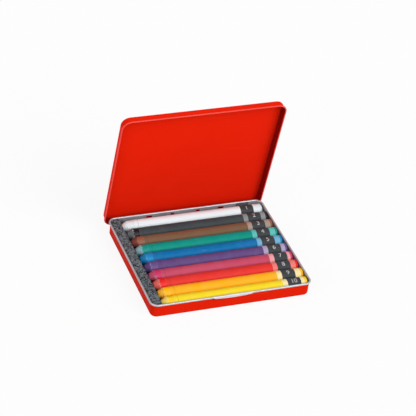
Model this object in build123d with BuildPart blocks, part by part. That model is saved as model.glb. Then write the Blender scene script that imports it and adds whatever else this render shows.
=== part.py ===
"""A flat hinged tin that holds ten paper-wrapped wax pastels in one row on a foam sheet.

The frame has its origin at the centre of the tin's underside, X along the pastels with their points
at -X, Y from the front wall to the hinge and Z up. Sizes are in millimetres. The lid is built in a
frame of its own at the hinge pins, so that one angle sets how far it stands open.
"""
import os
from math import cos, radians, sin

from build123d import *

os.makedirs("parts", exist_ok=True)

# Wax pastels, from the back of the tin to its front
pastel_names = ["white", "black", "brown", "green", "blue", "violet", "pink", "red", "orange", "yellow"]
pastel_length = 103.0
wax_diameter = 8.8
point_length = 4.1
point_end_diameter = 4.6
point_end_round = 0.5
bare_wax_behind_point = 4.4
bare_wax_at_end = 2.0
end_chamfer = 0.5
paper_thickness = 0.15
gap_between_pastels = 0.3

# Sheet steel of the tin
sheet = 0.3
wall_corner_radius = 4.4
bottom_bend_radius = 1.8
bead_diameter = 1.3
bead_seam_angle = 80.0

# How the pastels and the foam lie in the tin
gap_beside_row = 0.95
foam_sheet_thickness = 1.3
foam_sheet_gap = 0.3
gap_under_pastels = 0.1
rim_above_pastels = 0.2
gap_behind_ends = 0.3
outer_two_stop_at_corners = 0.7
foam_width = 6.8
foam_gap = 0.1
foam_below_pastels = 0.2
gap_to_points = 1.2

# Thumb lip under the front rim
lip_length = 27.0
lip_depth = 2.5
lip_below_rim_top = 0.1
lip_proud_of_bead = 0.1
lip_corner_radius = 0.8
lip_edge_round = 0.3

# Lid
lid_skirt_depth = 5.9
lid_bead_gap = 0.4
lid_rim_gap = 0.3
lid_bend_radius = 1.2
hem_diameter = 1.1
hem_seam_angle = 60.0
lid_open_angle = 78.0

# Hinges: wire pins in knuckles that are cut from the back wall, with a lid tongue between each two
pin_diameter = 0.8
pin_running_clearance = 0.05
pin_below_skirt = 2.0
pin_end_beyond_knuckle = 0.7
pin_end_chamfer = 0.12
hinge_spacing = 36.0
knuckle_span = 17.0
outer_knuckle_width = 4.0
inner_knuckle_width = 2.6
tongue_side_gap = 0.3
curl_gap_angle = 80.0
slot_below_bead = 0.4
hem_relief = 0.5

# Sizes that follow from those above
wrapped_diameter = wax_diameter + 2 * paper_thickness
row_pitch = wrapped_diameter + gap_between_pastels
row_depth = len(pastel_names) * wrapped_diameter + (len(pastel_names) - 1) * gap_between_pastels
inner_depth = row_depth + 2 * gap_beside_row
inner_width = foam_gap + foam_width + gap_to_points + pastel_length + gap_behind_ends
tin_width = inner_width + 2 * sheet
tin_depth = inner_depth + 2 * sheet
pastel_bottom_z = sheet + foam_sheet_thickness + gap_under_pastels
tin_height = pastel_bottom_z + wrapped_diameter + rim_above_pastels
inner_corner_radius = wall_corner_radius - sheet
inner_bend_radius = bottom_bend_radius - sheet
pastel_axis_z = pastel_bottom_z + wrapped_diameter / 2
foam_right_x = -inner_width / 2 + foam_gap + foam_width

bead_radius = bead_diameter / 2
bead_overhang = bead_diameter - sheet
bead_axis_z = tin_height - bead_radius
bead_axis_out = bead_overhang - bead_radius

hem_radius = hem_diameter / 2
hem_axis_out = hem_radius - sheet
lid_inner_grow = bead_overhang + lid_bead_gap
lid_grow = lid_inner_grow + sheet
lid_width = tin_width + 2 * lid_grow
lid_depth = tin_depth + 2 * lid_grow
lid_corner_radius = wall_corner_radius + lid_grow
lid_top_z = tin_height + lid_rim_gap + sheet
skirt_edge_z = lid_top_z - lid_skirt_depth
hem_axis_z = skirt_edge_z + hem_radius

pin_radius = pin_diameter / 2
lid_curl_inner_radius = pin_radius + pin_running_clearance
pin_y = tin_depth / 2 + lid_inner_grow - lid_curl_inner_radius
pin_z = skirt_edge_z - pin_below_skirt
slot_bottom_z = pin_z + pin_radius + sheet
slot_top_z = tin_height - bead_diameter - slot_below_bead

# The lid's own frame: its origin on the pins' axis, turned back by the opening angle
open_turn = radians(lid_open_angle)
lid_frame = Plane(origin=(0, pin_y, pin_z), x_dir=(1, 0, 0), z_dir=(0, sin(open_turn), cos(open_turn)))
lid_up = Axis((0, pin_y, pin_z), (0, sin(open_turn), cos(open_turn)))


def section_across(path, up):
    """Plane across a level outline where it starts, with x pointing outward and y along up."""
    along = path % 0
    return Plane(origin=path @ 0, x_dir=along.cross(up), z_dir=along * -1)


def curled_edge(plane, radius, start_angle, arc_size):
    """Section of sheet rolled round a bead's or a hem's centre."""
    with BuildSketch(plane) as section:
        with BuildLine():
            outer = CenterArc((0, 0), radius, start_angle, arc_size)
            inner = CenterArc((0, 0), radius - sheet, start_angle, arc_size)
            Line(outer @ 0, inner @ 0)
            Line(outer @ 1, inner @ 1)
        make_face()
    return section.sketch


def hinge_curl(plane, inner_radius, tail_length, tail_side):
    """Section of a strip that runs in along one side of the pin and curls round it.

    The strip comes in from -x below the pin's height for tail_side -1 and above it for +1.
    """
    outer_radius = inner_radius + sheet
    first = 90.0 * tail_side
    turn = -tail_side * (360.0 - curl_gap_angle)
    with BuildSketch(plane) as section:
        with BuildLine():
            outer = CenterArc((0, 0), outer_radius, first, turn)
            inner = CenterArc((0, 0), inner_radius, first, turn)
            outer_tail = Line(outer @ 0, (-tail_length, tail_side * outer_radius))
            inner_tail = Line(inner @ 0, (-tail_length, tail_side * inner_radius))
            Line(outer_tail @ 1, inner_tail @ 1)
            Line(outer @ 1, inner @ 1)
        make_face()
    return section.sketch


def knuckle_places():
    """Middle and width of the four knuckles that the back wall carries."""
    places = []
    for side in (-1, 1):
        middle = side * hinge_spacing / 2
        places.append((middle + side * knuckle_span / 2, outer_knuckle_width))
        places.append((middle - side * knuckle_span / 2, inner_knuckle_width))
    return places


def make_base_tray():
    """Drawn tray with a rolled rim, a thumb lip and the hinges' fixed knuckles."""
    with BuildSketch(Plane.XY.offset(bead_axis_z)) as bead_outline:
        RectangleRounded(
            tin_width + 2 * bead_axis_out, tin_depth + 2 * bead_axis_out, wall_corner_radius + bead_axis_out
        )
    bead_path = bead_outline.sketch.faces()[0].outer_wire()
    bead_section = curled_edge(
        section_across(bead_path, Vector(0, 0, 1)), bead_radius, 180, bead_seam_angle - 360
    )
    tail = pin_y - tin_depth / 2 + sheet / 2
    knuckle_plane = Plane(origin=(0, pin_y, pin_z), x_dir=(0, 1, 0), z_dir=(1, 0, 0))
    knuckle_section = hinge_curl(knuckle_plane, pin_radius, tail, 1)

    with BuildPart() as thumb_lip:
        with BuildSketch(Plane.XZ.offset(tin_depth / 2 - sheet / 2)):
            with Locations((0, tin_height - lip_below_rim_top - lip_depth / 2)):
                RectangleRounded(lip_length, lip_depth, lip_corner_radius)
        extrude(amount=sheet / 2 + bead_overhang + lip_proud_of_bead)
        fillet(thumb_lip.faces().sort_by(Axis.Y)[0].edges(), lip_edge_round)

    with BuildPart() as base_tray:
        with BuildSketch():
            RectangleRounded(tin_width, tin_depth, wall_corner_radius)
        extrude(amount=bead_axis_z)
        fillet(base_tray.faces().sort_by(Axis.Z)[0].edges(), bottom_bend_radius)
        offset(amount=-sheet, openings=base_tray.faces().sort_by(Axis.Z)[-1])
        sweep(sections=bead_section, path=bead_path)
        add(thumb_lip.part)

        # Each knuckle's strip is cut out of the wall above it
        for middle, width in knuckle_places():
            with BuildSketch(Plane.XZ.offset(-tin_depth / 2)):
                with Locations((middle, (slot_bottom_z + slot_top_z) / 2)):
                    Rectangle(width, slot_top_z - slot_bottom_z)
            extrude(amount=sheet, mode=Mode.SUBTRACT)
            extrude(knuckle_section.moved(Location((middle, 0, 0))), amount=width / 2, both=True)
    base_tray.part.label = "base_tray"
    export_step(base_tray.part, "parts/base_tray.step")


def make_lid():
    """Lid with a rolled hem and two hinge tongues, open at its angle."""
    with BuildSketch(lid_frame.offset(hem_axis_z - pin_z)) as hem_outline:
        with Locations((0, -pin_y)):
            RectangleRounded(
                lid_width + 2 * hem_axis_out, lid_depth + 2 * hem_axis_out, lid_corner_radius + hem_axis_out
            )
    hem_path = hem_outline.sketch.faces()[0].outer_wire()
    hem_section = curled_edge(
        section_across(hem_path, lid_frame.z_dir), hem_radius, 180, 360 - hem_seam_angle
    )
    tongue_plane = Plane(origin=lid_frame.origin, x_dir=lid_frame.z_dir * -1, z_dir=(1, 0, 0))
    tongue_section = hinge_curl(tongue_plane, lid_curl_inner_radius, hem_axis_z - pin_z, 1)
    inner_side = outer_knuckle_width / 2 + tongue_side_gap
    tongue_width = knuckle_span - inner_side - inner_knuckle_width / 2 - tongue_side_gap
    tongue_shift = (inner_knuckle_width - outer_knuckle_width) / 4
    skirt_back_y = lid_depth / 2 - pin_y

    with BuildPart() as lid:
        with BuildSketch(lid_frame.offset(hem_axis_z - pin_z)):
            with Locations((0, -pin_y)):
                RectangleRounded(lid_width, lid_depth, lid_corner_radius)
        extrude(amount=lid_top_z - hem_axis_z)
        fillet(lid.faces().sort_by(lid_up)[-1].edges(), lid_bend_radius)
        offset(amount=-sheet, openings=lid.faces().sort_by(lid_up)[0])
        sweep(sections=hem_section, path=hem_path)

        # The hem stops beside each tongue, where the sheet runs on down to the pin
        for side in (-1, 1):
            middle = side * (hinge_spacing / 2 + tongue_shift)
            with BuildSketch(lid_frame.offset(skirt_edge_z - pin_z)):
                with Locations((middle, skirt_back_y + hem_radius)):
                    Rectangle(tongue_width + 2 * hem_relief, hem_diameter)
            extrude(amount=hem_diameter, mode=Mode.SUBTRACT)
            extrude(tongue_section.moved(Location((middle, 0, 0))), amount=tongue_width / 2, both=True)
    lid.part.label = "lid"
    export_step(lid.part, "parts/lid.step")


def make_hinge_pin(name, side):
    """Wire through one hinge's knuckles and tongue, held tight by the knuckles."""
    outer_end = knuckle_span / 2 + outer_knuckle_width / 2 + pin_end_beyond_knuckle
    inner_end = knuckle_span / 2 + inner_knuckle_width / 2 + pin_end_beyond_knuckle
    middle = side * hinge_spacing / 2
    first_x = min(middle + side * outer_end, middle - side * inner_end)
    with BuildPart() as hinge_pin:
        with BuildSketch(Plane(origin=(first_x, pin_y, pin_z), x_dir=(0, 1, 0), z_dir=(1, 0, 0))):
            Circle(pin_radius)
        extrude(amount=outer_end + inner_end)
        chamfer(hinge_pin.edges().filter_by(GeomType.CIRCLE), pin_end_chamfer)
    hinge_pin.part.label = name
    export_step(hinge_pin.part, f"parts/{name}.step")


def make_foam_pad():
    """Foam strip at the left end, cut to the tin's corners, that the points rest against."""
    foam_length = foam_right_x + inner_width / 2 - foam_gap
    with BuildPart() as foam_pad:
        with BuildSketch(Plane.XY.offset(sheet)):
            RectangleRounded(
                inner_width - 2 * foam_gap, inner_depth - 2 * foam_gap, inner_corner_radius - foam_gap
            )
            with Locations((foam_right_x - foam_length / 2, 0)):
                Rectangle(foam_length, inner_depth, mode=Mode.INTERSECT)
        extrude(amount=pastel_bottom_z + wrapped_diameter - foam_below_pastels - sheet)
        floor_edges = foam_pad.faces().sort_by(Axis.Z)[0].edges().sort_by(Axis.X)
        fillet(floor_edges[:-1], inner_bend_radius - foam_gap)
    foam_pad.part.label = "foam_pad"
    export_step(foam_pad.part, "parts/foam_pad.step")


def make_foam_sheet():
    """Thin foam sheet on the floor under the pastels, clear of the walls."""
    sheet_length = inner_width / 2 - foam_sheet_gap - foam_right_x - foam_gap
    with BuildPart() as foam_sheet:
        with BuildSketch(Plane.XY.offset(sheet)):
            RectangleRounded(
                inner_width - 2 * foam_sheet_gap,
                inner_depth - 2 * foam_sheet_gap,
                inner_corner_radius - foam_sheet_gap,
            )
            with Locations((foam_right_x + foam_gap + sheet_length / 2, 0)):
                Rectangle(sheet_length, inner_depth, mode=Mode.INTERSECT)
        extrude(amount=foam_sheet_thickness)
        floor_edges = foam_sheet.faces().sort_by(Axis.Z)[0].edges().sort_by(Axis.X)
        fillet(floor_edges[1:], inner_bend_radius - foam_sheet_gap)
    foam_sheet.part.label = "foam_sheet"
    export_step(foam_sheet.part, "parts/foam_sheet.step")


def make_wax_stick(name, point_x, axis_y):
    """Wax stick with a blunt turned point at -X."""
    wax_radius = wax_diameter / 2
    point_end_radius = point_end_diameter / 2
    stick_plane = Plane(origin=(point_x, axis_y, pastel_axis_z), x_dir=(1, 0, 0), z_dir=(0, -1, 0))
    with BuildPart() as wax_stick:
        with BuildSketch(stick_plane):
            with BuildLine():
                Polyline(
                    (0, 0),
                    (0, point_end_radius),
                    (point_length, wax_radius),
                    (pastel_length - end_chamfer, wax_radius),
                    (pastel_length, wax_radius - end_chamfer),
                    (pastel_length, 0),
                    close=True,
                )
            make_face()
        revolve(axis=Axis((point_x, axis_y, pastel_axis_z), (1, 0, 0)))
        fillet(wax_stick.edges().filter_by(GeomType.CIRCLE).sort_by(Axis.X)[0], point_end_round)
    wax_stick.part.label = f"wax_stick_{name}"
    export_step(wax_stick.part, f"parts/wax_stick_{name}.step")


def make_wrapper(name, point_x, axis_y):
    """Paper sleeve glued round the stick, with bare wax at both ends."""
    start_x = point_x + point_length + bare_wax_behind_point
    end_x = point_x + pastel_length - bare_wax_at_end
    with BuildPart() as wrapper:
        with BuildSketch(Plane(origin=(start_x, axis_y, pastel_axis_z), x_dir=(0, 1, 0), z_dir=(1, 0, 0))):
            Circle(wrapped_diameter / 2)
            Circle(wax_diameter / 2, mode=Mode.SUBTRACT)
        extrude(amount=end_x - start_x)
    wrapper.part.label = f"wrapper_{name}"
    export_step(wrapper.part, f"parts/wrapper_{name}.step")


make_base_tray()
make_lid()
make_hinge_pin("hinge_pin_left", -1)
make_hinge_pin("hinge_pin_right", 1)
make_foam_pad()
make_foam_sheet()
for place, name in enumerate(pastel_names):
    axis_y = (row_depth - wrapped_diameter) / 2 - place * row_pitch
    end_gap = gap_behind_ends
    if name in (pastel_names[0], pastel_names[-1]):
        end_gap += outer_two_stop_at_corners
    point_x = inner_width / 2 - end_gap - pastel_length
    make_wax_stick(name, point_x, axis_y)
    make_wrapper(name, point_x, axis_y)

print(f"tin {tin_width:.1f} x {tin_depth:.1f} x {tin_height:.1f}")
print(f"lid {lid_width:.1f} x {lid_depth:.1f}, closed top at {lid_top_z:.1f}")
print(f"hinge pins at y {pin_y:.2f}, z {pin_z:.2f}, slots z {slot_bottom_z:.2f} to {slot_top_z:.2f}")
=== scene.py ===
# %% [markdown]
# # A tin of wax pastels
#
# A flat tin of red lacquered tinplate stands open. Ten wax pastels in paper sleeves lie in it side by side,
# with their points towards a foam strip. The metal pieces come from the frame at their real size and only
# get a finish here. The foam, the wax and the paper are modelled anew, because their look depends on shape
# that is finer than that of the plain solids.

# %% Set-up
from math import ceil, cos, hypot, pi, radians, sin

import bmesh
import bpy
from mathutils import Matrix, Vector, noise


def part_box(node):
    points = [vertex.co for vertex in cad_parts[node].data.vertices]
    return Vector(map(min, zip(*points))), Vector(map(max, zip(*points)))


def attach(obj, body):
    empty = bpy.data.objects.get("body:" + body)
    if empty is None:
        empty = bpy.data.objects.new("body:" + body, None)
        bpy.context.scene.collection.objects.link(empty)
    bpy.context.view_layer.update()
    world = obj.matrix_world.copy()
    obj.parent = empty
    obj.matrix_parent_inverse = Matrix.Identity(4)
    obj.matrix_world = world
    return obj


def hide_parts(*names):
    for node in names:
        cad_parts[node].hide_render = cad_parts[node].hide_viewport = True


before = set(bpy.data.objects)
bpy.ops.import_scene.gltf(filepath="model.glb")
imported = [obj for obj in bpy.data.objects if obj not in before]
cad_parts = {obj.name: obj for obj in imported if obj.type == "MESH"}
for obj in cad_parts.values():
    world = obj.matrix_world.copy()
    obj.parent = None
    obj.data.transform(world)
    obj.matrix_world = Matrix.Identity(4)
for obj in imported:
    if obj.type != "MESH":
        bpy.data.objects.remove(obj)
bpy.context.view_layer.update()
mm = 0.001
pastel_names = ["white", "black", "brown", "green", "blue", "violet", "pink", "red", "orange", "yellow"]

# %% [markdown]
# ## Tools for finishes
#
# Each finish of the tin is a Principled shader with a few procedural nodes before it. Image textures could do
# the same, but they need unwrapped meshes and show their pixels up close. Nodes have neither fault, and a few
# short calls in code serve all the materials. Patterns are placed by the Object coordinate, which is in
# metres, so a grain of half a millimetre stays half a millimetre on every piece. Colours are written as they
# look on a screen, from 0 to 255, and made linear here.

# %% Screen colours
def linear(red, green, blue):
    """Screen colour to the linear one that the renderer mixes."""
    parts = [part / 255 for part in (red, green, blue)]
    return tuple(((p + 0.055) / 1.055) ** 2.4 if p > 0.04 else p / 12.92 for p in parts) + (1.0,)


print("white paper in linear light", [round(part, 3) for part in linear(238, 241, 244)])


# %% Finish: a material under construction
class Finish:
    """A Principled material with short calls for the nodes that are used most."""

    def __init__(self, name, **constants):
        self.material = bpy.data.materials.new(name)
        self.material.use_nodes = True
        self.tree = self.material.node_tree
        self.shader = self.tree.nodes["Principled BSDF"]
        self.set(**constants)
        self.place = self.node("TexCoord")["Object"]

    def node(self, kind, inputs=(), **settings):
        """New node of a kind, with its inputs fed and its settings made. Returns its outputs."""
        made = self.tree.nodes.new("ShaderNode" + kind)
        for key, value in settings.items():
            setattr(made, key, value)
        for key, value in dict(inputs).items():
            self.feed(made.inputs[key], value)
        return made.outputs

    def feed(self, socket, value):
        """Links a socket to another node's output, or sets it to a constant."""
        if isinstance(value, bpy.types.NodeSocket):
            self.tree.links.new(value, socket)
        else:
            socket.default_value = value

    def set(self, **sockets):
        """Feeds sockets of the shader, named with _ for each blank."""
        for key, value in sockets.items():
            self.feed(self.shader.inputs[key.replace("_", " ")], value)

    def math(self, operation, first, second=0.0):
        """One number from two, or from one where the operation needs no second."""
        return self.node("Math", {0: first, 1: second}, operation=operation)[0]

    def vector(self, operation, first, second=(0, 0, 0)):
        """The same for vectors. A length or a dot product is one number."""
        made = self.node("VectorMath", {0: first, 1: second}, operation=operation)
        return made["Value" if operation in ("LENGTH", "DOT_PRODUCT") else "Vector"]

    def mix(self, factor, first, second):
        """Blend of two colours: all first at a factor of 0, all second at 1."""
        return self.node("Mix", {0: factor, 6: first, 7: second}, data_type="RGBA")[2]

    def ramp(self, value, low, high, to_low=0.0, to_high=1.0):
        """Runs from to_low to to_high while the value goes from low to high, and stops at both ends."""
        return self.node("MapRange", {0: value, 1: low, 2: high, 3: to_low, 4: to_high})[0]

    def noise(self, size, stretch=(1, 1, 1), detail=3.0, roughness=0.5, offset=(0, 0, 0)):
        """Noise with grains of about size millimetres, longer along an axis whose stretch is over 1."""
        scaled = self.vector("DIVIDE", self.vector("ADD", self.place, offset), stretch)
        inputs = {"Vector": scaled, "Scale": 1 / (size * mm), "Detail": detail, "Roughness": roughness}
        return self.node("TexNoise", inputs)[0]

    def bump(self, height, distance):
        """Surface relief: distance in millimetres for a height of 1."""
        return self.node("Bump", {"Distance": distance * mm, "Height": height})[0]


print("calls of a finish", [name for name in vars(Finish) if not name.startswith("_")])


# %% Dressing a ready piece
def dress(node_name, finish):
    """Puts a finish on a CAD node that keeps its own shape."""
    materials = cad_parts[node_name].data.materials
    materials.clear()
    materials.append(finish.material)


print("metal pieces to dress", [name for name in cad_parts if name.startswith(("base", "lid", "hinge"))])

# %% [markdown]
# ## Red lacquer
#
# Tin boxes are printed and lacquered as flat sheet, baked, and only then drawn to shape. The film is thin and
# even, with a very faint orange peel. A clear coat over a metal could make it, and would mirror the room. The
# real film mirrors very little, so it is a plain coloured surface with a low index of refraction. A slow
# noise varies its tone, a finer one its gloss, and a few hairline scratches are a little paler.

# %% Red film
lacquer_index = 1.04
scratch_colour, scratch_strength = (240, 96, 84), 0.12


def lacquer_parts(finish, darker, lighter):
    """Colour, roughness and height of the red film, whose tone wanders between two colours."""
    tone = finish.noise(size=28, detail=2.0)
    colour = finish.mix(tone, linear(*darker), linear(*lighter))
    peel = finish.noise(size=0.9, detail=2.0)
    hairline = finish.noise(size=0.35, stretch=(60, 1, 4), detail=1.0)
    scratch = finish.math("MULTIPLY", finish.ramp(hairline, 0.72, 0.78), scratch_strength)
    colour = finish.mix(scratch, colour, linear(*scratch_colour))
    gloss = finish.ramp(finish.noise(size=6.0, detail=4.0), 0.35, 0.65, 0.30, 0.38)
    return colour, gloss, peel


print("lacquer index", lacquer_index)

# %% [markdown]
# ## Where a point lies on a drawn box
#
# A box that is drawn from sheet has an outer and an inner face, and their finishes differ. Two materials on
# chosen faces could do it. A distance needs no choice of faces, and changes over halfway through the sheet.
# In plan it is measured from the middles of the round corners. Together with the height past the start of
# the bend it says how far out a point lies, on the walls and round the bend alike.

# %% Distances on a drawn box
def corner_distance(finish, point, half_width, half_depth, corner):
    """Distance in plan from the box that joins the middles of the four round corners."""
    middles = (half_width - corner, half_depth - corner, 1.0)
    beyond = finish.vector("SUBTRACT", finish.vector("ABSOLUTE", point), middles)
    return finish.vector("LENGTH", finish.vector("MAXIMUM", beyond, (0, 0, 0)))


def bend_distance(finish, in_plan, corner, bend, past_bend_start):
    """Distance from the line that the bend turns about: the bend's own radius on the outer face."""
    beyond = finish.math("MAXIMUM", finish.math("SUBTRACT", in_plan, corner - bend), 0.0)
    past = finish.math("MAXIMUM", past_bend_start, 0.0)
    return finish.vector("LENGTH", finish.node("CombineXYZ", {0: beyond, 1: past})[0])


sheet = 0.3 * mm
print("sheet", round(sheet / mm, 2), "mm, so the faces change over at", round(sheet / 2 / mm, 2))

# %% [markdown]
# ## The lid's own directions
#
# The lid stands open at 78 degrees, so its panel and skirt don't lie along X, Y or Z. The masks for its hem
# and skirt have to follow the sheet. The coordinates could be turned with a Mapping node. Two dot products
# say more plainly what is meant: how high each point is above the hinge pins, and how far behind them, as if
# the lid were shut.

# %% Lid directions
lacquer = Finish("red_lacquer", IOR=lacquer_index)
pin_low, pin_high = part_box("hinge_pin_right")
hinge_y, hinge_z = (pin_low[1] + pin_high[1]) / 2, (pin_low[2] + pin_high[2]) / 2
lid_tilt = radians(78)
lid_up, lid_back = (0, sin(lid_tilt), cos(lid_tilt)), (0, cos(lid_tilt), -sin(lid_tilt))
from_hinge = lacquer.vector("SUBTRACT", lacquer.place, (0, hinge_y, hinge_z))
above_pin = lacquer.vector("DOT_PRODUCT", from_hinge, lid_up)
behind_pin = lacquer.vector("DOT_PRODUCT", from_hinge, lid_back)
print("hinge at y", round(hinge_y / mm, 2), "z", round(hinge_z / mm, 2), "mm")

# %% [markdown]
# ## Hem and skirt of the lid
#
# Where the sheet is rolled over at the lid's edge, the red is painted paler along the hem, a painted
# highlight.
# Height above the pins finds that hem. The inner face of the skirt is painted a deeper red than the panel, a
# painted shade, because the same film everywhere came out too bright there.

# %% Painted hem highlight and painted skirt shade
lid_half_width, lid_half_depth, lid_corner = 57.7 * mm, 49.8 * mm, 6.1 * mm
lid_bend, lid_top_above_pin = 1.2 * mm, 7.9 * mm
hem_low, hem_high, hem_highlight_colour, hem_highlight_strength = 2.0 * mm, 2.9 * mm, (240, 132, 126), 0.34
skirt_shade_colour, skirt_shade_starts, skirt_shade_full = (140, 15, 8), lid_corner - 1.3 * mm, lid_corner - 0.6 * mm

hem_highlight = lacquer.ramp(above_pin, hem_low, hem_high, hem_highlight_strength, 0.0)
lid_x = lacquer.node("SeparateXYZ", {0: lacquer.place})[0]
shut_place = lacquer.node("CombineXYZ", {0: lid_x, 1: lacquer.math("ADD", behind_pin, hinge_y)})[0]
lid_plan = corner_distance(lacquer, shut_place, lid_half_width, lid_half_depth, lid_corner)
past_bend = lacquer.math("SUBTRACT", above_pin, lid_top_above_pin - lid_bend)
lid_shell = bend_distance(lacquer, lid_plan, lid_corner, lid_bend, past_bend)
painted_skirt_shade = lacquer.math("MULTIPLY", lacquer.math("LESS_THAN", lid_shell, lid_bend - sheet / 2),
                           lacquer.ramp(lid_plan, skirt_shade_starts, skirt_shade_full))
print("hem up to", round(hem_high / mm, 2), "mm above the pins, panel at", round(lid_top_above_pin / mm, 2))

# %% Lid finish
lid_colour, lid_gloss, lid_peel = lacquer_parts(lacquer, (229, 31, 8), (234, 37, 12))
# Painted highlight: the hem is mixed towards a paler red.
lid_colour = lacquer.mix(hem_highlight, lid_colour, linear(*hem_highlight_colour))
# Painted shade: the inner skirt is mixed towards a deeper red.
lacquer.set(
    Base_Color=lacquer.mix(painted_skirt_shade, lid_colour, linear(*skirt_shade_colour)),
    Roughness=lid_gloss,
    Normal=lacquer.bump(lid_peel, distance=0.006),
)
dress("lid", lacquer)

# %% [markdown]
# ## Bare tinplate
#
# Tinplate is steel sheet with a thin coat of tin. It is grey, with fine lines from the rolls and cloudy
# patches. Anisotropic gloss could give the lines. Here they are noise that is stretched forty times along X,
# which varies the colour and the roughness and leaves a very fine relief.

# %% Tinplate
def tinplate_parts(finish):
    """Colour, roughness and height of bare rolled tinplate."""
    rolled = finish.noise(size=0.5, stretch=(40, 1, 1), detail=4.0, roughness=0.6)
    cloud = finish.ramp(finish.noise(size=9.0, detail=3.0), 0.45, 0.7, 0.0, 0.35)
    colour = finish.mix(rolled, linear(160, 166, 170), linear(197, 203, 207))
    colour = finish.mix(cloud, colour, linear(147, 154, 158))
    return colour, finish.ramp(rolled, 0.3, 0.7, 0.30, 0.44), rolled


tray = Finish("lacquered_tinplate_base", IOR=lacquer_index)
# Painted shade: the base's red is written darker than the lid's same film, to offset the stronger light on
# its front wall.
red, red_gloss, peel = lacquer_parts(tray, (206, 28, 6), (212, 34, 10))
bare, bare_gloss, rolled = tinplate_parts(tray)
print("nodes for the base so far", len(tray.tree.nodes))

# %% [markdown]
# ## Faces of the base
#
# Only the outside of the base is printed, and the red film ends under the rolled rim in a slightly uneven
# line. The rim and the inside are bare tin. The rolls have dulled the rim, while the inside is a dim mirror
# that shows the wax and the bands beside it. Two materials would meet in a hard edge. Masks in one material
# part the film, the rim and the inside, and noise makes the film's edge uneven.

# %% Outside, rim and inside
half_width, half_depth, tray_top = 56.0 * mm, 48.1 * mm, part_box("base_tray")[1][2]
wall_corner, bottom_bend, film_edge, film_wander = 4.4 * mm, 1.8 * mm, 1.25 * mm, 0.15 * mm
roll_depth = 0.6 * mm
x, y, z = tray.node("SeparateXYZ", {0: tray.place})
plan = corner_distance(tray, tray.place, half_width, half_depth, wall_corner)
shell = bend_distance(tray, plan, wall_corner, bottom_bend, tray.math("SUBTRACT", bottom_bend, z))
outside = tray.math("GREATER_THAN", shell, bottom_bend - sheet / 2)
wander = tray.math("MULTIPLY", tray.math("SUBTRACT", tray.noise(size=2.0), 0.5), film_wander)
uneven_z = tray.math("ADD", z, wander)
under_bead = tray.math("LESS_THAN", uneven_z, tray_top - film_edge)
inside_wall = tray.math("MULTIPLY", tray.math("SUBTRACT", 1.0, outside),
                        tray.math("LESS_THAN", z, tray_top - roll_depth))
print("rim top at", round(tray_top / mm, 2), "mm")

# %% [markdown]
# ## Lip for the thumb
#
# A short lip stands under the front rim, so that a nail can lift the lid. Its upper part is bare tin, painted
# lighter as a painted highlight, and the bare part ends below in a shallow arc, deepest in the middle. Chosen
# faces would end in a straight line. The square of X gives the arc.

# %% Lip
lip_half_length, lip_front = 13.7 * mm, -half_depth - 0.02 * mm
arc_middle, arc_end, lip_highlight_colour, lip_highlight_share = 2.0 * mm, 1.2 * mm, (232, 238, 241), 0.4
bare_depth = tray.ramp(tray.math("MULTIPLY", x, x), 0, lip_half_length ** 2, arc_middle, arc_end)
on_lip = tray.math("MULTIPLY", tray.math("LESS_THAN", y, lip_front),
                   tray.math("LESS_THAN", tray.math("ABSOLUTE", x), lip_half_length))
below_rim_top = tray.math("SUBTRACT", tray_top, uneven_z)
on_lip = tray.math("MULTIPLY", on_lip, tray.math("LESS_THAN", below_rim_top, bare_depth))
# Painted highlight: the lip's bare tin is mixed towards a lighter grey.
bare = tray.mix(tray.math("MULTIPLY", on_lip, lip_highlight_share), bare, linear(*lip_highlight_colour))
print("bare part of the lip", round(2 * lip_half_length / mm, 1), "mm long")

# %% Base tray finish
rim_metal, inside_metal, inside_polish = 0.4, 0.8, 0.22
peel_height, rolled_height = 0.006, 0.002
painted = tray.math("MULTIPLY", outside, under_bead)
painted = tray.math("MULTIPLY", painted, tray.math("SUBTRACT", 1.0, on_lip))
metal = tray.math("SUBTRACT", tray.ramp(inside_wall, 0, 1, rim_metal, inside_metal),
                  tray.math("MULTIPLY", painted, rim_metal))
bare_gloss = tray.math("SUBTRACT", bare_gloss, tray.math("MULTIPLY", inside_wall, inside_polish))
relief = tray.math("ADD", tray.math("MULTIPLY", tray.math("MULTIPLY", peel, painted), peel_height),
                   tray.math("MULTIPLY", rolled, rolled_height))
tray.set(
    Base_Color=tray.mix(painted, bare, red),
    Metallic=metal,
    Roughness=tray.ramp(painted, 0, 1, bare_gloss, red_gloss),
    Normal=tray.bump(relief, distance=1.0),
)
dress("base_tray", tray)
print("nodes for the base", len(tray.tree.nodes))

# %% [markdown]
# ## Hinge pins
#
# Each hinge turns on a short length of drawn steel wire. Drawing leaves fine lines along the wire. They could
# be cut into the mesh, but the pins are nearly hidden, so noise that is stretched along X is enough.

# %% Hinge pins
wire = Finish("drawn_wire", Metallic=1.0)
lines = wire.noise(size=0.12, stretch=(30, 1, 1), detail=4.0)
wire.set(
    Base_Color=wire.mix(lines, linear(150, 151, 154), linear(196, 198, 202)),
    Roughness=wire.ramp(lines, 0.3, 0.7, 0.25, 0.45),
    Normal=wire.bump(lines, distance=0.004),
)
for side in ("left", "right"):
    dress(f"hinge_pin_{side}", wire)
print("pins are", round((pin_high[2] - pin_low[2]) / mm, 2), "mm thick")

# %% [markdown]
# ## Keeping a modelled piece
#
# The pieces from here on are modelled anew in metres, right where they lie. Each becomes one object at the
# origin, shaded smooth but for its sharp edges, and tied to the body that carries it. Most of them stand for
# a plain solid of the frame, which is then hidden.

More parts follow.
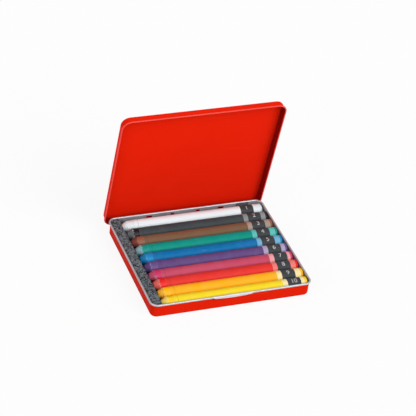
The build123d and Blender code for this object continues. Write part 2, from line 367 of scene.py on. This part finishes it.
# %% Keeping a piece
def keep(mesh, name, body, replaced, finish, smooth_angle=40):
    """Makes an object of a bmesh, ties it to its body, and hides the CAD node that it replaces."""
    bmesh.ops.recalc_face_normals(mesh, faces=mesh.faces)
    data = bpy.data.meshes.new(name)
    mesh.to_mesh(data)
    mesh.free()
    data.materials.append(finish.material)
    data.polygons.foreach_set("use_smooth", [True] * len(data.polygons))
    data.set_sharp_from_angle(angle=radians(smooth_angle))
    piece = bpy.data.objects.new(name, data)
    bpy.context.scene.collection.objects.link(piece)
    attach(piece, body)
    if replaced:
        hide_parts(replaced)
    return piece


plain = [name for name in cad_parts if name.startswith(("foam", "wax", "wrapper"))]
print("plain solids that new pieces will replace", len(plain))

# %% [markdown]
# ## Foam
#
# The strip at the left end is open-cell foam, cut with a knife: its faces are a field of small torn cells,
# dark inside and lighter on their edges. A thinner sheet of it lies under the pastels. Displacement by a
# modifier could tear the faces, and would also push them past the tin's walls. Here a box gets a fine grid,
# and each point of it sinks inwards only, so the foam stays inside its solid.

# %% A box with a fine grid
def gridded_box(low, high, cell):
    """Box whose faces are divided into squares of about cell."""
    mesh = bmesh.new()
    bmesh.ops.create_cube(mesh, size=1.0)
    size = [b - a for a, b in zip(low, high)]
    for vert in mesh.verts:
        vert.co = Vector([a + (c + 0.5) * s for a, c, s in zip(low, vert.co, size)])
    for axis in range(3):
        runs = [(edge, edge.verts[0].co - edge.verts[1].co) for edge in mesh.edges]
        along = [edge for edge, run in runs if abs(run[axis]) > 0.5 * size[axis]]
        cuts = max(1, ceil(size[axis] / cell) - 1)
        bmesh.ops.subdivide_edges(mesh, edges=along, cuts=cuts, use_grid_fill=True)
    return mesh


trial = gridded_box((0, 0, 0), (6 * mm, 4 * mm, 2 * mm), 1 * mm)
print("faces of a box of 6 x 4 x 2 mm in squares of 1 mm", len(trial.faces))
trial.free()

# %% [markdown]
# The foam is cut to the tin's round corners, and its edges lie a little back from its faces. A bevel would
# break the even grid, so the points are drawn in instead: towards the corner's arc in plan, and back by a
# parabola near the top and bottom edges.

# %% Rounded corners and edges
def round_in_plan(point, low, high, radius, side):
    """Draws the two upright corners of a box on one side, -1 or +1 along X, in to a radius."""
    right_half = point.x > (low[0] + high[0]) / 2
    if right_half != (side > 0):
        return
    across = 1 if point.y > (low[1] + high[1]) / 2 else -1
    end = high[0] if side > 0 else low[0]
    flank = high[1] if across > 0 else low[1]
    dx = point.x - (end - side * radius)
    dy = point.y - (flank - across * radius)
    if dx * side > 0 and dy * across > 0:
        shrink = max(abs(dx), abs(dy)) / hypot(dx, dy)
        point.x += dx * (shrink - 1)
        point.y += dy * (shrink - 1)


def set_back(gap, reach):
    """How far a point lies back whose gap to the edge is less than reach."""
    return max(0.0, reach - gap) ** 2 / (2 * reach)


print("an edge of 1.4 mm lies back by", round(set_back(0.0, 1.4), 2), "mm at most")

# %% Torn cells
cell_size, cell_reach, torn_size, torn_share = 1.1 * mm, 0.62, 0.5 * mm, 0.25
on_face = 1e-6


def inwards(point, low, high):
    """Direction into the box from a point on its surface."""
    direction = Vector((0, 0, 0))
    for axis in range(3):
        if point[axis] - low[axis] < on_face:
            direction[axis] = 1
        elif high[axis] - point[axis] < on_face:
            direction[axis] = -1
    return direction.normalized()


def foam_piece(node_name, cell, pit, corner, rounded_side, edge_round, floor_round):
    """Foam with torn cells, inside the CAD solid's box."""
    low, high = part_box(node_name)
    mesh = gridded_box(low, high, cell)
    for vert in mesh.verts:
        point = vert.co
        inward = inwards(point, low, high)
        back = max(set_back(high[2] - point.z, edge_round), set_back(point.z - low[2], floor_round))
        distances, _ = noise.voronoi(Vector(point) * (1 / cell_size))
        torn = (noise.noise(Vector(point) * (1 / torn_size)) + 1) * torn_share
        point += inward * (max(0.0, cell_reach - distances[0]) + torn) * pit
        for axis in (0, 1):
            point[axis] += back * ((inward[axis] > 0) - (inward[axis] < 0))
        round_in_plan(point, low, high, corner, rounded_side)
    piece = keep(mesh, node_name + "_cut", "tin", node_name, foam, smooth_angle=180)
    return piece


print("cells of about", round(cell_size / mm, 1), "mm")

# %% Foam pieces
tone_size = 1.0 * mm
foam = Finish("open_cell_foam", Roughness=0.95, Specular_IOR_Level=0.2)
speck = foam.noise(size=0.35, detail=4.0, roughness=0.7)
cells = foam.node("TexVoronoi", {"Vector": foam.place, "Scale": 1 / tone_size}, feature="F1")
cell_tone = foam.ramp(foam.node("SeparateColor", {0: cells["Color"]})[0], 0.2, 0.9)
foam_colour = foam.mix(cell_tone, linear(4, 8, 10), linear(114, 130, 136))
foam_colour = foam.mix(foam.ramp(speck, 0.42, 0.68, 0.0, 0.35), foam_colour, linear(16, 17, 20))
foam_colour = foam.mix(foam.ramp(cells["Distance"], 0.35, 0.7, 0.0, 0.3), foam_colour, linear(146, 154, 160))
foam.set(Base_Color=foam_colour, Normal=foam.bump(speck, distance=0.35))
pad = foam_piece("foam_pad", cell=0.4 * mm, pit=0.35 * mm, corner=4.0 * mm, rounded_side=-1,
                 edge_round=0.5 * mm, floor_round=1.4 * mm)
under_sheet = foam_piece("foam_sheet", cell=1.0 * mm, pit=0.15 * mm, corner=3.8 * mm, rounded_side=1,
                         edge_round=0.2 * mm, floor_round=1.1 * mm)
print("foam pad faces", len(pad.data.polygons), "sheet faces", len(under_sheet.data.polygons))

# %% [markdown]
# ## Wax sticks
#
# The sticks are cast, and their points are turned on a cutter. That leaves a mottled matt cone with a
# chipped edge where it meets the smooth cast side. A cylinder and a cone could be joined, but their edge
# would be too sharp. One outline that is spun about the stick's axis holds the blunt nose, the cone, the
# side and the chamfered flat end. Close steps near the point leave room for the chips.

# %% A spun solid
def spun(profile, centre, steps):
    """Solid made by spinning (x, radius) points once about a line along X."""
    mesh = bmesh.new()
    verts = [mesh.verts.new(centre + Vector((x, 0, radius))) for x, radius in profile]
    edges = [mesh.edges.new(pair) for pair in zip(verts, verts[1:])]
    bmesh.ops.spin(mesh, geom=verts + edges, cent=centre, axis=(1, 0, 0), angle=2 * pi, steps=steps,
                   use_merge=True)
    bmesh.ops.remove_doubles(mesh, verts=mesh.verts, dist=1e-6)
    return mesh


trial = spun([(0, 0), (0, mm), (mm, mm), (mm, 0)], Vector((0, 0, 0)), steps=12)
print("a spun disc has", len(trial.faces), "faces")
trial.free()

# %% Outline of a stick
point_length, nose_radius, end_chamfer = 4.1 * mm, 2.3 * mm, 0.5 * mm
cone_start, cone_end, cone_steps = 0.25 * mm, point_length - 0.1 * mm, 18
side_step, side_steps, end_step, end_steps = 0.25 * mm, 18, 0.3 * mm, 4


def stick_profile(length, radius):
    """Outline from the middle of the blunt nose to the middle of the flat end."""
    # the blunt nose, a little rounded where the cone begins
    outline = [(0, 0), (0, nose_radius * 0.5), (0, nose_radius - 0.4 * mm)]
    outline.append((0.08 * mm, nose_radius - 0.18 * mm))
    # the cone in close steps
    slope = (radius - nose_radius) / point_length
    for step in range(cone_steps + 1):
        along = cone_start + (cone_end - cone_start) * step / cone_steps
        outline.append((along, nose_radius + slope * along))
    outline.append((point_length, radius - 0.02 * mm))
    # the side: close steps by the cone, wide ones under the paper, close ones by the end
    outline += [(point_length + side_step * step, radius) for step in range(1, side_steps + 1)]
    outline += [(length * part, radius) for part in (0.2, 0.4, 0.6, 0.8, 0.94)]
    outline += [(length - end_chamfer - end_step * step, radius) for step in range(end_steps, -1, -1)]
    # the flat end
    outline += [(length, radius - end_chamfer), (length, radius * 0.5), (length, 0)]
    return outline


print("points in a stick's outline", len(stick_profile(length=103 * mm, radius=4.4 * mm)))

# %% [markdown]
# ## Wax
#
# Each stick has three tones: the turned cone, the cast side, and the pale wax of fresh chips. Three materials
# on rings of faces would meet in clean circles, which a cutter never leaves. So a mask along X tells cone
# from side, and a noise makes its edge ragged. Flecks lie all over the cone, and chips only in a narrow ring
# at its edge.

# %% Wax finish
stick_look = {
    "white": ((230, 239, 242), (212, 228, 231), (240, 243, 244)),
    "black": ((104, 107, 110), (20, 24, 28), (176, 178, 180)),
    "brown": ((108, 50, 44), (140, 88, 68), (182, 108, 86)),
    "green": ((140, 172, 182), (2, 138, 128), (176, 196, 204)),
    "blue": ((2, 112, 166), (4, 128, 190), (84, 148, 184)),
    "violet": ((78, 54, 110), (97, 74, 131), (142, 130, 166)),
    "pink": ((176, 72, 98), (194, 50, 98), (184, 160, 152)),
    "red": ((214, 104, 98), (225, 34, 28), (230, 172, 164)),
    "orange": ((240, 172, 48), (247, 182, 12), (240, 214, 140)),
    "yellow": ((240, 212, 104), (243, 204, 24), (250, 238, 176)),
}
edge_wander, mottle_share, fleck_share, chip_share = 1.6, 0.35, 0.6, 0.8
ring_before_edge, ring_full, ring_end = 0.2, 0.2, 0.9
cast_roughness, cut_roughness = 0.42, 0.62


def wax_finish(name, start):
    """Wax: a mottled turned cone, pale chips at its edge, and a smooth cast side. Lengths in millimetres."""
    tip, side, pale = (linear(*colour) for colour in stick_look[name])
    wax = Finish("wax_" + name, Specular_IOR_Level=0.2)
    wax_x = wax.node("SeparateXYZ", {0: wax.place})[0]
    along = wax.math("DIVIDE", wax.math("SUBTRACT", wax_x, start), mm)
    ragged = wax.math("MULTIPLY", wax.math("SUBTRACT", wax.noise(size=1.6), 0.5), edge_wander)
    cone_edge = point_length / mm
    on_cone = wax.ramp(wax.math("ADD", along, ragged), cone_edge - 0.1, cone_edge + 0.1, 1.0, 0.0)
    mottle = wax.ramp(wax.noise(size=0.7, detail=4.0, roughness=0.65), 0.3, 0.7, 0.0, 1.0)
    cone = wax.mix(wax.math("MULTIPLY", mottle, mottle_share), tip, side)
    fleck = wax.ramp(wax.noise(size=0.45, detail=2.0, offset=(0.01, 0, 0)), 0.66, 0.70)
    cone = wax.mix(wax.math("MULTIPLY", fleck, fleck_share), cone, pale)
    from_ring = wax.math("ABSOLUTE", wax.math("SUBTRACT", along, cone_edge - ring_before_edge))
    chip = wax.math("MULTIPLY", wax.ramp(from_ring, ring_full, ring_end, 1.0, 0.0),
                    wax.ramp(wax.noise(size=1.3, detail=3.0, offset=(0, 0.02, 0)), 0.50, 0.58))
    colour = wax.mix(wax.math("MULTIPLY", chip, chip_share), wax.mix(on_cone, side, cone), pale)
    relief = wax.math("ADD", wax.math("MULTIPLY", mottle, wax.ramp(on_cone, 0, 1, 0.2, 1.0)), chip)
    wax.set(
        Base_Color=colour,
        Roughness=wax.ramp(on_cone, 0, 1, cast_roughness, cut_roughness),
        Normal=wax.bump(relief, distance=0.05),
    )
    return wax


print("tones for", len(stick_look), "waxes")

# %% [markdown]
# Bump alone would leave the outline of a point perfect, so the chips are real dents too. Only the mesh near
# the cone is moved, always inwards, because the rest of a stick is hidden by its paper.

# %% Chipped points
dent_size, cone_dent, chip_dent, chip_reach = 1.2 * mm, 0.05 * mm, 0.22 * mm, 0.9 * mm
chip_middle = point_length - 0.2 * mm
chip_scale, chip_shift, chip_floor = 0.6, Vector((7, 3, 1)), 0.05
dented_length, unmoved_radius, side_share = point_length + 4.2 * mm, 0.2 * mm, 0.15
stick_steps = 72


def wax_stick(name):
    """Stick of one pastel, with a chipped point."""
    low, high = (Vector(corner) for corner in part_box("wax_stick_" + name))
    centre = Vector((low.x, (low.y + high.y) / 2, (low.z + high.z) / 2))
    mesh = spun(stick_profile(high.x - low.x, (high.z - low.z) / 2), centre, stick_steps)
    for vert in mesh.verts:
        along = vert.co.x - low.x
        out = Vector((0, vert.co.y - centre.y, vert.co.z - centre.z))
        if along > dented_length or out.length < unmoved_radius:
            continue
        spot = Vector(vert.co) * (1 / dent_size)
        sink = cone_dent * (noise.noise(spot) + 1) * (1.0 if along < point_length else side_share)
        by_edge = max(0.0, 1 - abs(along - chip_middle) / chip_reach)
        sink += chip_dent * by_edge * max(0.0, noise.noise(spot * chip_scale + chip_shift) - chip_floor)
        vert.co -= out.normalized() * sink
    return keep(mesh, f"cast_stick_{name}", f"pastel_{name}", f"wax_stick_{name}",
                wax_finish(name, low.x), smooth_angle=50)


sticks = [wax_stick(name) for name in pastel_names]
print("stick faces", len(sticks[0].data.polygons))

# %% [markdown]
# ## Printed paper
#
# The sleeves are coated paper, printed flat in stripes before it is cut: a body colour, a thin line near the
# point, and towards the flat end a dark band between two pale ones. An image of the print could be wrapped
# round the stick, but the stripes need only the distance along it, and stay sharp at any size. Fibres, slow
# clouds and a few scuffs keep the print from looking flat, and a pale line shows the cut edge of the paper at
# each end.

# %% Print colours
paper_look = {
    "white": ((222, 236, 239), (218, 232, 235)),
    "black": ((56, 65, 68), (131, 141, 143)),
    "brown": ((115, 85, 62), (162, 143, 133)),
    "green": ((2, 141, 126), (92, 185, 180)),
    "blue": ((2, 106, 166), (110, 173, 206)),
    "violet": ((92, 69, 123), (165, 158, 188)),
    "pink": ((186, 70, 98), (225, 156, 158)),
    "red": ((218, 51, 45), (231, 122, 116)),
    "orange": ((247, 172, 20), (238, 221, 161)),
    "yellow": ((240, 213, 31), (238, 224, 168)),
}
line_colour, band_colour = (40, 38, 40), (60, 64, 67)
scuff_colour, cut_colour = (236, 234, 230), (228, 224, 216)
band_starts = {"white": 38.4, "black": 40.4, "brown": 40.0, "violet": 40.8, "pink": 41.6, "red": 40.2,
               "yellow": 40.4}
usual_band_start, band_width, tint_width, print_blur = 39.8, 9.6, 3.4, 0.08
line_place, line_full, line_end, line_share = 2.6, 0.12, 0.2, 0.35
cut_full, cut_end, cut_share = 0.03, 0.08, 0.25
fibre_wander, cloud_share, scuff_share, cloud_relief = 0.12, 0.05, 0.14, 3.0
print("bands start", min(band_starts.values()), "to", max(band_starts.values()), "mm right of the middle")


# %% Paper finish
def paper_finish(name, start, end, band):
    """Coated paper with its printed stripes, placed along X in millimetres from the sleeve's start."""
    body, tint = (linear(*colour) for colour in paper_look[name])
    paper = Finish("paper_" + name, Specular_IOR_Level=0.08)
    paper_x = paper.node("SeparateXYZ", {0: paper.place})[0]
    along = paper.math("DIVIDE", paper.math("SUBTRACT", paper_x, start), mm)
    fibre = paper.noise(size=0.5, stretch=(4, 1, 1), detail=4.0, roughness=0.6)
    cloud = paper.noise(size=7.0, detail=3.0)
    ink = paper.mix(paper.ramp(cloud, 0.35, 0.65, 0.0, cloud_share), body, tint)
    from_line = paper.math("ABSOLUTE", paper.math("SUBTRACT", along, line_place))
    ink = paper.mix(paper.ramp(from_line, line_full, line_end, line_share, 0.0), ink, linear(*line_colour))
    wander = paper.math("MULTIPLY", paper.math("SUBTRACT", fibre, 0.5), fibre_wander)
    edge = paper.math("ADD", along, wander)
    stripes = [(band - tint_width, tint), (band, linear(*band_colour)), (band + band_width, tint)]
    if name == "white":
        del stripes[0]
    for stripe_start, colour in stripes:
        ink = paper.mix(paper.ramp(edge, stripe_start, stripe_start + print_blur), ink, colour)
    scuff = paper.ramp(paper.noise(size=0.8, stretch=(6, 1, 1), detail=3.0), 0.68, 0.76, 0.0, scuff_share)
    ink = paper.mix(scuff, ink, linear(*scuff_colour))
    length = (end - start) / mm
    cut_edge = paper.math("MAXIMUM", paper.ramp(along, cut_full, cut_end, cut_share, 0.0),
                          paper.ramp(along, length - cut_end, length - cut_full, 0.0, cut_share))
    relief = paper.math("ADD", fibre, paper.math("MULTIPLY", cloud, cloud_relief))
    paper.set(
        Base_Color=paper.mix(cut_edge, ink, linear(*cut_colour)),
        Roughness=paper.ramp(cloud, 0.3, 0.7, 0.44, 0.54),
        Normal=paper.bump(relief, distance=0.012),
    )
    return paper


print("print of the last paper", paper_look[pastel_names[-1]])

# %% [markdown]
# ## Paper sleeves
#
# A strip is rolled round each stick, a little more than one turn, so its last edge lies as a low step on the
# layer below. A tube with a solidify modifier would have no such step. Here a short radial edge is extruded
# round the stick and grows by one layer on the way. Its last half meets the first edge again, which closes
# the section, and the section is drawn out along the stick.

# %% Rolled section
turn_steps, seam = 96, radians(250)


def rolled_section(centre, inner, one_layer):
    """Flat section of a strip after one turn, from one layer thick at the seam to two."""
    mesh = bmesh.new()
    outward = Vector((0, cos(seam), sin(seam)))
    first = [mesh.verts.new(centre + outward * radius) for radius in (inner, inner + one_layer)]
    edge, step_turn = mesh.edges.new(first), Matrix.Rotation(2 * pi / turn_steps, 3, "X")
    for _ in range(turn_steps):
        made = bmesh.ops.extrude_edge_only(mesh, edges=[edge])["geom"]
        verts = [item for item in made if isinstance(item, bmesh.types.BMVert)]
        edges = [item for item in made if isinstance(item, bmesh.types.BMEdge)]
        edge = next(item for item in edges if set(item.verts) == set(verts))
        bmesh.ops.rotate(mesh, verts=verts, cent=centre, matrix=step_turn)
        near, far = sorted(verts, key=lambda vert: (vert.co - centre).length)
        far.co += (far.co - centre).normalized() * (one_layer / turn_steps)
    _, middle = bmesh.utils.edge_split(edge, near, 0.5)
    bmesh.ops.remove_doubles(mesh, verts=first + [near, middle], dist=1e-7)
    return mesh


print("seam at", round(seam * 180 / pi), "degrees, on the underside")


# %% Sleeves
wax_gap = 0.004 * mm


def paper_sleeve(name):
    """Sleeve of one pastel. Returns it with the start of its band and its outer radius."""
    low, high = (Vector(corner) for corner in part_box("wrapper_" + name))
    stick_low, stick_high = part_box("wax_stick_" + name)
    centre = Vector((low.x, (low.y + high.y) / 2, (low.z + high.z) / 2))
    outer, inner = (high.z - low.z) / 2, (stick_high[2] - stick_low[2]) / 2 + wax_gap
    mesh = rolled_section(centre, inner, (outer - inner) / 2)
    made = bmesh.ops.extrude_face_region(mesh, geom=mesh.faces[:])["geom"]
    moved = [item for item in made if isinstance(item, bmesh.types.BMVert)]
    bmesh.ops.translate(mesh, verts=moved, vec=(high.x - low.x, 0, 0))
    band = band_starts.get(name, usual_band_start) - low.x / mm
    piece = keep(mesh, f"paper_sleeve_{name}", f"pastel_{name}", f"wrapper_{name}",
                 paper_finish(name, low.x, high.x, band))
    return piece, Vector((low.x + band * mm, centre.y, centre.z)), outer


sleeves = [paper_sleeve(name) for name in pastel_names]
print("sleeve faces", len(sleeves[0][0].data.polygons))

# %% [markdown]
# ## Colour numbers
#
# The dark band carries the colour's number. It could be part of the print, but figures made of shader nodes
# are hard to read and to change. A text object is turned to a flat mesh, cut into narrow strips and bent
# round the sleeve, a hair proud of the paper so that neither hides the other.

# %% Ink for the numbers
number_ink = Finish("band_ink", Roughness=0.5, Specular_IOR_Level=0.3)
ink_tone = number_ink.ramp(number_ink.noise(size=0.3, detail=3.0), 0.35, 0.7)
number_ink.set(Base_Color=number_ink.mix(ink_tone, linear(206, 206, 206), linear(170, 170, 172)))
print("ink ready")

# %% Numbers on the bands
figure_size, figure_thickness, figure_lift = 4.6 * mm, 0.004 * mm, 0.006 * mm
figure_turn, strip_width, strips_each_way = radians(-16), 0.25 * mm, 8


def flat_figure(number, name):
    """Thin mesh of a number, lying on the XY plane."""
    text = bpy.data.curves.new(f"figure_{name}", "FONT")
    text.body, text.size, text.extrude = str(number), figure_size, figure_thickness
    text.align_x = text.align_y = "CENTER"
    holder = bpy.data.objects.new("figure_source", text)
    bpy.context.scene.collection.objects.link(holder)
    flat = bpy.data.meshes.new_from_object(holder.evaluated_get(bpy.context.evaluated_depsgraph_get()))
    bpy.data.objects.remove(holder)
    mesh = bmesh.new()
    mesh.from_mesh(flat)
    bpy.data.meshes.remove(flat)
    bmesh.ops.remove_doubles(mesh, verts=mesh.verts, dist=1e-7)
    return mesh


def band_number(number, name, band_start, radius):
    """Figure whose foot points to the tin's front, in the middle of the dark band."""
    mesh = flat_figure(number, name)
    for strip in range(-strips_each_way, strips_each_way + 1):
        bmesh.ops.bisect_plane(mesh, geom=mesh.verts[:] + mesh.edges[:] + mesh.faces[:], dist=1e-7,
                               plane_co=(0, strip * strip_width, 0), plane_no=(0, 1, 0))
    for vert in mesh.verts:
        turn = figure_turn + vert.co.y / radius
        height = radius + figure_lift + vert.co.z
        along = band_width / 2 * mm + vert.co.x
        vert.co = band_start + Vector((along, height * sin(turn), height * cos(turn)))
    return keep(mesh, f"number_{name}", f"pastel_{name}", None, number_ink)


numbers = [band_number(place + 1, name, sleeves[place][1], sleeves[place][2])
           for place, name in enumerate(pastel_names)]
print("numbers", len(numbers), "faces in the last", len(numbers[-1].data.polygons))

# %% [markdown]
# ## White table
#
# The tin lies on a plain white table that fades into the background. More light would make the table white,
# and would burn out the paper too. Instead the camera and the reflections see a table that is mostly glow,
# with just enough of the lit surface left to carry the tin's soft shadow.

# %% Table
table_size, table_drop, glow_share = 3.0, 0.02 * mm, 0.9
table_mesh = bmesh.new()
bmesh.ops.create_grid(table_mesh, x_segments=1, y_segments=1, size=table_size)
bmesh.ops.translate(table_mesh, verts=table_mesh.verts, vec=(0, 0, -table_drop))
table_data = bpy.data.meshes.new("floor")
table_mesh.to_mesh(table_data)
table_mesh.free()
table = bpy.data.objects.new("floor", table_data)
bpy.context.scene.collection.objects.link(table)
paint = Finish("white_table", Base_Color=(0.88, 0.88, 0.88, 1), Roughness=0.6, Specular_IOR_Level=0.1)
rays = paint.node("LightPath")
glow = paint.node("Emission", {"Color": (1, 1, 1, 1), "Strength": 1.0})[0]
seen_directly = paint.math("MAXIMUM", rays["Is Camera Ray"], rays["Is Glossy Ray"])
share = paint.math("MULTIPLY", seen_directly, glow_share)
shown = paint.node("MixShader", {0: share, 1: paint.shader.outputs[0], 2: glow})[0]
paint.feed(paint.tree.nodes["Material Output"].inputs["Surface"], shown)
table_data.materials.append(paint.material)
print("table", 2 * table_size, "m wide")

# %% [markdown]
# ## Lamps
#
# Small shiny things are photographed between large soft boxes. Area lamps close by would do the same, but
# their light falls off across the tin. Distant lamps that are 45 degrees wide light it evenly and are as
# soft. The key stands above the front right. A weaker fill on the left keeps the left wall and the shaded
# side of each pastel from going dark.

# %% Key and fill
lamp_width = radians(45)


def broad_lamp(name, energy, towards):
    """Distant lamp as wide as a large softbox, shining from the direction it is given."""
    light = bpy.data.lights.new(name, "SUN")
    light.energy = energy
    light.angle = lamp_width
    lamp = bpy.data.objects.new(name, light)
    bpy.context.scene.collection.objects.link(lamp)
    lamp.rotation_euler = Vector(towards).to_track_quat("Z", "Y").to_euler()
    return light


key = broad_lamp("key", 2.2, (0.43, -0.69, 0.58))
fill = broad_lamp("fill", 0.85, (-0.80, -0.30, 0.50))
print("key", key.energy, "fill", fill.energy)

# %% [markdown]
# ## Surround
#
# A backdrop could be modelled, but a camera on another side would look past it. The world itself is the
# surround here. It is white for the camera and for reflections, so that the background is white and bare
# metal mirrors something bright. As a lamp it is less than half as strong, or pale papers would burn out.
# The Standard view shows the colours as they are written.

# %% Surround
surround_light, surround_seen = 0.40, 1.0
world = bpy.data.worlds.new("surround")
world.use_nodes = True
bpy.context.scene.world = world
nodes, links = world.node_tree.nodes, world.node_tree.links
background, ray_kind = nodes["Background"], nodes.new("ShaderNodeLightPath")
seen, strength = nodes.new("ShaderNodeMath"), nodes.new("ShaderNodeMapRange")
seen.operation = "MAXIMUM"
links.new(ray_kind.outputs["Is Camera Ray"], seen.inputs[0])
links.new(ray_kind.outputs["Is Glossy Ray"], seen.inputs[1])
links.new(seen.outputs[0], strength.inputs[0])
strength.inputs["To Min"].default_value = surround_light
strength.inputs["To Max"].default_value = surround_seen
links.new(strength.outputs[0], background.inputs["Strength"])
background.inputs["Color"].default_value = (1, 1, 1, 1)
bpy.context.scene.view_settings.view_transform = "Standard"
print("surround lights with", surround_light, "and shows", surround_seen)

# %% [markdown]
# ## Camera
#
# The camera stands where the photographer's did. A camera could be turned by eye until the picture looks
# right. Here its turn, tilt and roll, its focal length and its distance were worked out from the straight
# edges of the tin, and its axes are built from those angles one after the other.

# %% Camera
yaw, pitch, roll = radians(24.0098), radians(35.6053), radians(7.1527)
focal_pixels, picture_pixels = 1811.013, 416
shift_right, shift_up, distance = -0.6247 * mm, -37.3536 * mm, 1232.692 * mm
forward = Vector((sin(yaw) * cos(pitch), cos(yaw) * cos(pitch), -sin(pitch)))
level = Vector((cos(yaw), -sin(yaw), 0))
over = level.cross(forward)
right = level * cos(roll) + over * sin(roll)
up = over * cos(roll) - level * sin(roll)
lens = bpy.data.cameras.new("camera")
lens.sensor_width = 36
lens.lens = lens.sensor_width * focal_pixels / picture_pixels
lens.clip_end = 20
camera = bpy.data.objects.new("camera", lens)
stand = -(right * shift_right + up * shift_up + forward * distance)
camera.matrix_world = Matrix.Translation(stand) @ Matrix((right, up, -forward)).transposed().to_4x4()
bpy.context.scene.collection.objects.link(camera)
bpy.context.scene.camera = camera
print("camera stands at", [round(c, 3) for c in stand], "lens", round(lens.lens, 1))

# %% [markdown]
# ## Sizes
#
# The modelled pieces must not outgrow the real sizes.
